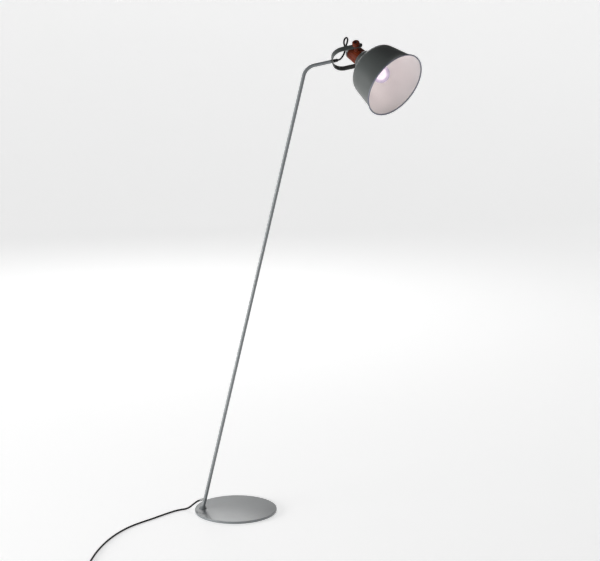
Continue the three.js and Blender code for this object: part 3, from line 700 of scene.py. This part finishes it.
def switch_reliefs():
    """A short grooved sleeve where the cord enters each end of the switch."""
    profile = [
        (0, CORD_BORE_R), (0, 5.6), (2, 5.6), (7, 4.9), (7.4, 4.4), (8.4, 4.4), (8.8, 4.7), (11.8, 4.3),
        (12.2, 3.9), (13.2, 3.9), (13.6, 4.1), (16.5, 3.7), (17, CORD_BORE_R),
    ]
    reliefs = []
    for side, name in ((-1, "switch_relief_front"), (1, "switch_relief_rear")):
        start = at(SWITCH_X, SWITCH_Y + side * (SWITCH_L / 2 - 1), SWITCH_MID_H)
        relief = lathe(name, profile, start @ Matrix.Rotation(side * math.pi / 2, 4, "Z"), BLACK, 32)
        reliefs.append(show(relief, "stand", "black_plastic"))
    return reliefs


def rocker():
    """A rocker with a shallow V on top, pressed in at one end."""
    low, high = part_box("switch_rocker")
    side_view = [
        (-8.6, 1), (-6, -3.6), (6, -3.6), (8.6, 1), (8.6, 4.6),
        (4.3, 3.7), (0, 3.4), (-4.3, 3.7), (-8.6, 4.6),
    ]
    middle = Matrix.Translation(((low.x + high.x) / 2, SWITCH_Y * MM, (SWITCH_MID_H + 5.2) * MM))
    upright = Matrix.Rotation(math.pi / 2, 4, "Z") @ Matrix.Rotation(math.pi / 2, 4, "X")
    place = middle @ Matrix.Rotation(ROCKER_TURN, 4, "X") @ upright
    body = prism("rocker", side_view, -ROCKER_HALF_W, ROCKER_HALF_W, place, BLACK, 0.5, 3)
    return show(body, "rocker", "black_plastic", "switch_rocker")


def plug_shell():
    outline = [
        (-5, 0), (5, 0), (8.5, 11), (17.5, 19), (17.5, PLUG_L), (-17.5, PLUG_L), (-17.5, 19), (-8.5, 11),
    ]
    place = at(PLUG_X, PLUG_Y, PLUG_H)
    body = prism("plug_shell", outline, -PLUG_HALF_T, PLUG_HALF_T, place, BLACK, 2.6, 5)
    return show(body, "stand", "black_plastic", "plug_body")


def plug_relief(place):
    """Six ribs that grow from the cord towards the plug."""
    profile = [(-24, CORD_BORE_R)]
    for k in range(6):
        start = -24 + 4 * k
        big = 3.9 + 0.32 * k
        profile += [(start, big), (start + 2.7, big + 0.15), (start + 3, big - 0.5), (start + 3.8, big - 0.5)]
    profile += [(1, 5.6), (1, CORD_BORE_R)]
    relief = lathe("plug_relief", profile, place, BLACK, 32, sharp=50)
    return show(relief, "stand", "black_plastic")


def plug_pins(turn):
    """Two round pins, each in an insulating sleeve for half its length."""
    pieces = []
    for side, node in ((-1, "plug_pin_left"), (1, "plug_pin_right")):
        root = at(PLUG_X, PLUG_Y, PLUG_H) @ at(side * PIN_OUT, PLUG_L, 0) @ turn
        pin_line = fillet([(-1, 0), (-1, PIN_R), (PIN_L, PIN_R, 1.6), (PIN_L, 0)])
        pin = lathe(node + "_round", pin_line, root, STEEL, 32)
        show(pin, "stand", "steel", node)
        sleeve_line = [(-1, PIN_R), (-1, PIN_R + 0.25), (9.6, PIN_R + 0.25), (10, PIN_R)]
        sleeve = lathe(node + "_sleeve", sleeve_line, root, BLACK, 32)
        pieces += [pin, show(sleeve, "stand", "black_plastic")]
    return pieces


def plug():
    turn = Matrix.Rotation(math.pi / 2, 4, "Z")
    return [plug_shell(), plug_relief(at(PLUG_X, PLUG_Y, PLUG_H) @ turn), *plug_pins(turn)]


cord_line = mains_line()
cord = mains_cord(cord_line)
outlet()
on_cord = [cord_tie(), *switch_shells(), switch_bezel(), *switch_reliefs(), rocker(), *plug()]


# ---- Base ------------------------------------------------------------------------------------------------

def base_disc():
    plate = fillet([(PAD_T, 0), (PAD_T, BASE_R, 0.8), (BASE_TOP, BASE_R, 1.3), (BASE_TOP, 0)])
    disc = lathe("base_disc", plate, UP, GREY_PAINTED_LIGHTER, 192)
    show(disc, "stand", "grey_paint", "base_plate")


def base_sole():
    """The pad under the plate, with shallow round grooves."""
    pad = [(0.2, 0), (0.2, 40), (0, 41), (0, 43)]
    for groove in (70, 100, 128):
        pad += [(0, groove - 2), (0.4, groove - 1.5), (0.4, groove + 1.5), (0, groove + 2)]
    pad += [(0, PAD_R - 0.4), (0.4, PAD_R), (PAD_T, PAD_R), (PAD_T, 0)]
    sole = lathe("base_sole", pad, UP, RUBBER, 128)
    show(sole, "stand", "base_rubber", "base_pad")


def foot_flange():
    top = BASE_TOP + COLLAR_H
    profile = fillet([
        (BASE_TOP, TUBE_R - 1), (BASE_TOP, COLLAR_R), (BASE_TOP + 2.2, COLLAR_R, 0.8),
        (BASE_TOP + 3.4, COLLAR_R - 1.4, 1.2), (top - 0.6, TUBE_R + 3.4, 1.5),
        (top + 0.4, TUBE_R + 2, 0.8), (top + 0.4, TUBE_R - 1),
    ])
    flange = lathe("foot_flange", profile, at(FOOT_X, 0, 0) @ UP, GREY_PAINTED_LIGHTER, 64)
    show(flange, "stand", "grey_paint", "foot_collar")


# ---- Tube and arm's end ----------------------------------------------------------------------------------

def tube_line(start, short):
    """The tube's centre line from a distance up the pole to a distance short of the yoke's plate."""
    turn = math.pi / 2 - LEAN - ARM_RISE
    tangent = BEND_R * math.tan(turn / 2)
    elbow = FOOT + POLE_AXIS * POLE_L
    to_centre = Vector((math.cos(LEAN), 0, -math.sin(LEAN)))
    centre = elbow - POLE_AXIS * tangent + to_centre * BEND_R
    straight_end = POLE_L - tangent
    points = [FOOT + POLE_AXIS * (start + (straight_end - start) * i / 12) for i in range(12)]
    for i in range(29):
        points.append(centre + Matrix.Rotation(turn * i / 28, 3, "Y") @ (-to_centre * BEND_R))
    arm_start = points[-1]
    arm_end = Vector(swivel["pos_m"]) / MM - Vector(swivel["axis"]) * short
    points += [arm_start.lerp(arm_end, k / 4) for k in (1, 2, 3)]
    points.append(arm_end)
    return points


def pole():
    line = tube_line(6, STRAP_T / 2 + 1.6)
    tube_body = tube("pole_tube", line, TUBE_R, ROW, GREY_PAINTED_LIGHTER, 48)
    show(tube_body, "stand", "grey_paint", "pole")


def swivel_washers():
    near = STRAP_T / 2 + GAP
    far = near + SWIVEL_WASHER_T
    rear = washer("washer_rear", -far, -near, STUB_BORE_R, SWIVEL_WASHER_R, ARM, BLACK)
    show(rear, "stand", "black_plastic", "swivel_washer_rear")
    front = washer("washer_front", near, far, STUB_BORE_R, SWIVEL_WASHER_R, ARM, STEEL)
    show(front, "stand", "steel", "swivel_washer_front")


def grip_nut():
    """The cord-grip nut on the arm's end: a fluted barrel between two collars, then a cone for the lead."""
    flute_start, flute_end = 5, 13

    def flutes(angle, x):
        return 1 - 0.035 * max(0, math.cos(12 * angle)) if flute_start < x < flute_end else 1

    profile = fillet([
        (3.1, STUB_BORE_R), (3.1, NUT_R, 0.4), (4.8, NUT_R, 0.2), (5.1, NUT_R - 0.1),
        (12.9, NUT_R - 0.1), (13.2, NUT_R, 0.2), (15, NUT_R, 0.5), (19.1, NUT_R - 1.6, 0.8),
        (19.1, HEAD_LEAD_R + 0.1), (12, HEAD_LEAD_R + 0.1), (12, STUB_BORE_R),
    ])
    nut = lathe("arm_grip_nut", profile, ARM, BLACK, 96, flutes)
    show(nut, "stand", "black_plastic", "arm_nut")


# ---- Yoke ------------------------------------------------------------------------------------------------

def strap_line():
    """Points, outward directions and half widths down the middle of the bent strap, leg end to leg end."""
    half = YOKE_HALF - STRAP_T / 2
    corner = half - YOKE_CORNER_R
    round_start = PIVOT_REACH + LEG_PAST_PIVOT
    full = STRAP_W / 2
    leg = []
    for k in range(9):
        a = (88 - 11 * k) * RAD
        leg.append((round_start + full * math.sin(a), full * math.cos(a)))
    leg += [(round_start - 20, full), (YOKE_CORNER_R + 20, full)]
    stations = [((x, -half), (0, -1), w) for x, w in leg]
    for start_deg, shift in ((270, -corner), (180, corner)):
        for k in range(33):
            a = (start_deg - 90 * k / 32) * RAD
            out = (math.cos(a), math.sin(a))
            stations.append(((YOKE_CORNER_R * (1 + out[0]), YOKE_CORNER_R * out[1] + shift), out, full))
    stations += [((x, half), (0, 1), w) for x, w in reversed(leg)]
    return stations


def yoke_strap():
    """The bent strip with rounded ends, its section a rectangle with soft corners."""
    verts, rings = [], []
    t = STRAP_T / 2
    for (x, z), (ox, oz), w in strap_line():
        soft = min(STRAP_EDGE_R, w * 0.5)
        section = []
        for k, (sy, st) in enumerate([(1, 1), (-1, 1), (-1, -1), (1, -1)]):
            for step in range(4):
                a = (90 * k + 30 * step) * RAD
                across = sy * (w - soft) + soft * math.cos(a)
                out = st * (t - STRAP_EDGE_R) + STRAP_EDGE_R * math.sin(a)
                section.append((across, out))
        rings.append([len(verts) + i for i in range(len(section))])
        for y, out in section:
            verts.append((x + ox * out, y, z + oz * out))
    faces = skin(rings, False) + [rings[0], rings[-1]]
    # The strap takes the darker copy of the lamp paint: painted shade that sets it darker than the pole
    strap = made("yoke_strap", verts, faces, YOKE, SHADE_GREY_PAINTED_DARKER, 45)
    show(strap, "yoke", "grey_paint", "yoke")


def pivot_bolt():
    """The bolt through both legs, its domed head under the lower one."""
    under = -YOKE_HALF - 0.1
    over = YOKE_HALF + 9
    profile = fillet([
        (under - 2.4, 0), (under - 2.4, 2), (under - 4.1, 2.1, 0.2), (under - 3.7, 3.4, 1),
        (under - 2.2, 5.6, 2), (under - 0.5, 6.9, 0.5), (under, 6.9),
        (under, PIVOT_BOLT_R), (over, PIVOT_BOLT_R), (over, 0),
    ])
    bolt = lathe("pivot_bolt_cap", profile, PIVOT @ UP, STEEL, 48)
    show(bolt, "yoke", "steel", "pivot_bolt")


def knob_washer():
    start = YOKE_HALF + 0.1
    end = start + KNOB_WASHER_T
    ring = washer("knob_washer_round", start, end, PIVOT_BORE_R, KNOB_WASHER_R, PIVOT @ UP, STEEL)
    show(ring, "yoke", "steel", "knob_washer")


def head_lead():
    """The lead from the nut swings behind the strap, turns over in a narrow loop and enters the neck."""
    points = [
        (16, 0, 0), (21, 0, 0), (27, 0.7, 1.4), (36, 6.8, 5.2), (44.5, 16.7, 9.9), (49.5, 26.2, 13.9),
        (50, 36.2, 18.4), (50.3, 49, 22.2), (55.3, 63, 23), (62.3, 72, 18.5), (65.5, 74, 8), (62, 68.5, 0),
        (57.5, 61, -3), (56.6, 53.5, -3), (58.2, 47.6, -1.8), (61.2, 42.4, -0.5),
    ]
    into = Vector((math.cos(TILT), math.sin(TILT), 0))
    rear = NECK_REAR - CAP_T
    points += [Vector((PIVOT_REACH, 0, 0)) + into * depth for depth in (rear - 2, rear + 3)]
    line = [YOKE @ (p * MM) for p in spline(points, 5)]
    lead = tube("lead_loop", [p / MM for p in line], HEAD_LEAD_R, ROW, CORD, 20)
    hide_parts("head_lead")
    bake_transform(lead)


def knob():
    """A turned wooden knob with a recessed insert in its face."""
    foot = YOKE_HALF + 2.1
    face = foot + KNOB_H
    wooden = lathe("knob_wood", fillet([
        (foot, KNOB_BORE_R), (foot, KNOB_R - 2, 0.6), (foot + 3, KNOB_R, 3), (face - 2.4, KNOB_R, 2.4),
        (face - 0.2, KNOB_R - 3, 1.4), (face, 7.4, 0.8), (face, 5.2, 0.3), (face - 2, KNOB_BORE_R),
    ]), PIVOT @ UP, WOOD, 96)
    show(wooden, "knob", "wood", "tilt_knob")
    top = face - 1.6
    insert = lathe("knob_insert_round", fillet([
        (foot, 3.25), (foot, 4.8), (top, 4.8, 0.3), (top, 2.1, 0.2), (top - 2.4, 1.6), (top - 2.4, 0),
        (top - 3, 0), (top - 3, 3.25),
    ]), PIVOT @ UP, BLACK, 48)
    show(insert, "knob", "brass", "knob_insert")


# ---- Neck and shade --------------------------------------------------------------------------------------

def wooden_neck():
    profile = fillet([
        (NECK_REAR, 0), (NECK_REAR, NECK_REAR_R, 0.7), (NECK_REAR + 1.6, NECK_REAR_R + 0.1),
        (0, NECK_REAR_R + 0.5), (14, NECK_REAR_R + 1), (NECK_FRONT - 1, NECK_FRONT_R, 0.8),
        (NECK_FRONT, NECK_FRONT_R - 0.8, 0.6), (NECK_FRONT, 0),
    ])
    wooden = lathe("neck_wood", profile, HEAD, WOOD, 128)
    show(wooden, "head", "wood", "wood_neck")


def bosses():
    """The wooden spacers between the neck and the yoke's legs, bored for the pivot bolt."""
    bore = PIVOT_BOLT_R + GAP
    top = YOKE_HALF - STRAP_T - 0.2
    profile = fillet([(20, bore), (20, 9.4), (25.8, 9.4), (27.4, 8.3, 1.2), (top, 7.8, 0.8), (top, bore)])
    down = Matrix.Rotation(math.pi / 2, 4, "Y")
    for turn, node in ((UP, "neck_spacer_upper"), (down, "neck_spacer_lower")):
        boss = lathe(node + "_boss", profile, PIVOT @ turn, WOOD, 48)
        show(boss, "head", "wood", node)


def end_cap():
    """The spun cap behind the neck, and the grommet that the lead enters it by."""
    rear = NECK_REAR - CAP_T - 0.1
    cap_line = curved([
        (rear, 4.2), (rear, 12), (rear + 0.3, 19.3), (rear + 1.6, 23.3), (rear + 3.8, 25.6),
        (rear + 6.4, NECK_REAR_R), (NECK_REAR - 0.1, NECK_REAR_R),
    ])
    cap = lathe("neck_cap", thickened(cap_line, CAP_WALL), HEAD, GREY_PAINTED_LIGHTER, 96)
    show(cap, "head", "grey_paint", "neck_end_cap")
    grommet = lathe("lead_grommet_round", fillet([
        (rear - 3.2, HEAD_LEAD_R), (rear - 3.2, HEAD_LEAD_R + 1, 0.4), (rear - 1.4, 5.4, 0.6),
        (rear - 0.4, 5.8, 0.4), (rear, 5.4), (rear, 4), (rear + 3, 4), (rear + 3, HEAD_LEAD_R),
    ]), HEAD, BLACK, 48)
    show(grommet, "head", "black_plastic", "lead_grommet")


def shade_collar():
    """A domed ring from the wood's edge to the shade."""
    rear = NECK_FRONT + 0.15
    r = SHADE_COLLAR_R
    line = [(rear, 5.4), (rear, 20), (rear, 26.6)]
    line += curved([
        (rear + 0.1, 28.4), (rear + 0.8, 30.2), (rear + 3, 32.8), (rear + 6.6, 35.2), (rear + 11, 37),
        (rear + 16, r - 0.4), (SHADE_TOP - 0.9, r),
    ])
    line += [(SHADE_TOP - 0.15, r - 0.3)]
    collar = lathe("shade_collar_round", thickened(line, SHADE_COLLAR_WALL), HEAD, SHADE_GREY_PAINTED_DARKER, 128)
    show(collar, "head", "shade_paint", "shade_collar")


def shade():
    """The spun bell with a beaded rim: grey outside, its bead a lighter blue-grey that is a painted
    highlight, white inside.
    """
    t = SHADE_TOP
    outer = [(t, HOLDER_R + 0.9), (t, 28), (t, 36.4)]
    outer += curved([
        (t + 0.1, 39.2), (t + 1.5, 42.8), (t + 6.5, 51), (t + 14.5, 62.6), (t + 22.5, 73.6), (t + 29.5, 81.5),
        (t + 36.5, 86.6), (t + 45.5, 90), (t + 58.5, 92.8), (t + 79.5, 96.6), (t + 104.5, 101.2),
        (t + 124.5, 105.6), (SHADE_RIM - 4.4, SHADE_RIM_R - 2),
    ])
    wall = thickened(outer, SHADE_WALL)
    outside, inside = wall[:len(outer)], wall[len(outer):]
    bead_at = Vector((SHADE_RIM - RIM_BEAD_R, SHADE_RIM_R - RIM_BEAD_R))
    bead = arc(bead_at, RIM_BEAD_R, 150, -135, 16)
    lip_x, lip_r = inside[0]
    band = [(lip_x + dx, lip_r - dr) for dx, dr in ((0.6, 0.7), (0, 1.7), (-1.2, 2.2), (-3, 2))]
    bell = lathe("shade_bell", [*outside, *bead, *band, *inside[2:]], HEAD, SHADE_GREY_PAINTED_DARKER, 160, sharp=60)
    bell.data.materials.append(WHITE)
    bell.data.materials.append(LIP_PAINTED_HIGHLIGHT)
    white_slot, highlight_lip_slot = 1, 2
    outer_line = [Vector(p) for p in outside]
    inner_line = [Vector(p) for p in [*band, *inside]]
    back_home = HEAD.inverted()
    for polygon in bell.data.polygons:
        centre = back_home @ polygon.center / MM
        spot = Vector((centre.x, math.hypot(centre.y, centre.z)))
        # The bead's faces get the lighter blue-grey: a painted highlight
        if (spot - bead_at).length < RIM_BEAD_R + 0.05:
            polygon.material_index = highlight_lip_slot
        elif min((spot - p).length for p in inner_line) < min((spot - p).length for p in outer_line):
            polygon.material_index = white_slot
    show(bell, "head", "shade_paint", "shade")


def lampholder():
    bore = HOLDER_R - HOLDER_WALL
    floor = HOLDER_START + 6
    flange_end = SHADE_TOP - 0.3
    profile = fillet([
        (HOLDER_START, NIPPLE_BORE_R), (HOLDER_START, 20.8, 1), (flange_end, 22), (flange_end, HOLDER_R),
        (HOLDER_END, HOLDER_R, 0.8), (HOLDER_END, bore), (floor, bore), (floor, NIPPLE_BORE_R),
    ])
    body = lathe("holder_body", profile, HEAD, WHITE, 96)
    show(body, "head", "black_plastic", "lampholder")


def holder_ring():
    """The ribbed ring that clamps the shade onto the lampholder."""
    start = SHADE_TOP + SHADE_WALL + GAP
    bore = HOLDER_R + GAP
    r = HOLDER_RING_R

    def grip(angle, x):
        return 1 - 0.02 * max(0, math.cos(24 * angle)) if start + 1 < x < start + 5 else 1

    profile = fillet([
        (start, bore), (start, r, 0.5), (start + 1.2, r), (start + 1.5, r - 0.3),
        (start + 4.5, r - 0.3), (start + 4.8, r), (start + 6, r, 0.8), (start + 6, bore),
    ])
    ring = lathe("holder_ring_ribbed", profile, HEAD, WHITE, 192, grip)
    show(ring, "head", "black_plastic", "holder_ring")


def bulb_screw():
    """The bulb's screw cap, with seven crests of thread."""
    tip = BULB_TIP
    cap = [(tip, 0), (tip, 4.5), (tip + 4, 11)]
    for k in range(7):
        crest = tip + 7.2 + 3 * k
        cap += [(crest - 1.2, 12.2), (crest, 13), (crest + 1.2, 12.2)]
    cap += [(tip + 29.4, 12.4), (tip + 29.4, 0)]
    screw = lathe("bulb_screw", cap, HEAD, STEEL, 64)
    show(screw, "head", "bulb_metal", "bulb_cap")


def bulb_globe():
    """The hollow globe: an outer and an inner skin, joined by a ring at the throat."""
    throat = BULB_THROAT
    stem = [(throat + d, r) for d, r in ((0, 12.4), (3.4, 12.8), (8.4, 14.4), (14.4, 18.2), (20.4, 22.3))]
    outer = curved([*stem, *arc((BULB_CENTRE, 0), BULB_R, 124, 0, 24)[:-1]], 2)
    shrink = 0.966
    inner = [
        (BULB_CENTRE + (x - BULB_CENTRE) * shrink, r * shrink) if x > throat + 12 else (x, r - 1)
        for x, r in outer
    ]
    front = BULB_CENTRE + BULB_R
    verts, rings = turned([*outer, (front, 0.0), (front - 1, 0.0), *reversed(inner)], 96)
    cut = len(outer) + 1
    faces = skin(rings[:cut], False) + skin(rings[cut:], False) + skin([rings[0], rings[-1]], False)
    globe = made("bulb_globe", verts, faces, HEAD, GLASS, 60)
    globe.visible_shadow = False
    show(globe, "head", "opal_glass", "bulb_glass")


def bulb_core():
    """The glowing body inside the globe."""
    glow = Paint("bulb_core")
    glow.set(Base_Color=(0.9, 0.86, 0.7, 1), Roughness=0.6, Emission_Strength=3.0)
    glow.set(Emission_Color=glow.ramp(glow.noise(30, 2), (0.3, 1.0, 0.93, 0.74), (0.7, 1.0, 0.97, 0.84)))
    foot = BULB_THROAT + 2
    stem = [(foot, 0), (foot, 5), (foot + 6, 6), (foot + 14, 9)]
    ball = arc((BULB_CENTRE, 0), CORE_R, 130, 0, 12)[:-1]
    core = lathe("bulb_core", [*stem, *ball, (BULB_CENTRE + CORE_R, 0)], HEAD, glow.material, 48)
    core.visible_shadow = False
    show(core, "head", "opal_glass")


def bulb_light():
    lamp_data = bpy.data.lights.new("bulb_light", "POINT")
    lamp_data.energy = 0.066
    lamp_data.color = (1.0, 0.93, 0.88)
    lamp_data.shadow_soft_size = 0.028
    lamp = bpy.data.objects.new("bulb_light", lamp_data)
    lamp.matrix_world = HEAD @ at(BULB_CENTRE, 0, 0)
    bpy.context.scene.collection.objects.link(lamp)
    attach(lamp, "head")


base_disc()
base_sole()
foot_flange()
pole()
swivel_washers()
grip_nut()
yoke_strap()
pivot_bolt()
knob_washer()
head_lead()
knob()
wooden_neck()
bosses()
end_cap()
shade_collar()
shade()
lampholder()
holder_ring()
bulb_screw()
bulb_globe()
bulb_core()
bulb_light()

for kept_node, node_material in (
    ("foot_bolt", HIDDEN_STEEL), ("arm_stub", HIDDEN_BRASS), ("pole_lead", CORD),
    ("holder_nipple", HIDDEN_BRASS), ("nipple_nut", HIDDEN_STEEL), ("holder_sleeve", HIDDEN_BRASS),
):
    finish_node(kept_node, node_material)


# ---- Studio ----------------------------------------------------------------------------------------------

def studio_paint():
    """Pale paint that glows behind the object and low down, and is dim overhead."""
    p = Paint("studio_white")
    place = p.add("ShaderNodeSeparateXYZ", {"Vector": p.place}).outputs
    height, across = place["X"], place["Y"]
    behind = p.between(across, 0.0, 1.0, -6.0, -1.0)
    low_down = p.between(height, 1.0, 0.0, 2.5, 5.2)
    glow = p.add("ShaderNodeMath", {0: p.between(behind, 0.3, 1.0), 1: low_down}, operation="MULTIPLY")
    tone = p.ramp(p.noise(0.4, 2), (0.3, 0.8, 0.8, 0.8), (0.7, 0.82, 0.82, 0.82))
    p.set(Base_Color=p.blend(low_down, (0.12, 0.12, 0.12, 1), tone), Roughness=0.9)
    p.set(Emission_Color=(1, 1, 1, 1), Emission_Strength=p.between(glow.outputs[0], 0.0, 0.585))
    return p.material


def studio_bowl():
    """A pale floor that sweeps up into a wall all round."""
    sweep = arc((SWEEP_R, FLOOR_R), SWEEP_R, 174, 96, 13)
    line = [(0.0, 0.0), (0.0, 3000.0), (0.0, FLOOR_R), *sweep, (WALL_R, CEILING_H)]
    bowl = lathe("studio_floor", line, UP, studio_paint(), 96)


def soft_light(name, place, target, size, power):
    data = bpy.data.lights.new(name, "AREA")
    data.shape = "DISK"
    data.size = size
    data.energy = power
    light = bpy.data.objects.new(name, data)
    light.location = place
    light.rotation_euler = (Vector(target) - Vector(place)).to_track_quat("-Z", "Y").to_euler()
    bpy.context.scene.collection.objects.link(light)


def sky():
    world = bpy.data.worlds.new("studio")
    bpy.context.scene.world = world
    world.use_nodes = True
    background = world.node_tree.nodes["Background"].inputs
    background["Color"].default_value = (1, 1, 1, 1)
    background["Strength"].default_value = 0.12


studio_bowl()
sky()
soft_light("key", (-4.6, -1.8, 0.9), (0.2, 0, 1.1), 2.4, 190)
soft_light("back", (-0.6, 4.4, 3.2), (0, 0, 0.3), 2.4, 60)
bpy.context.scene.view_settings.view_transform = "Standard"
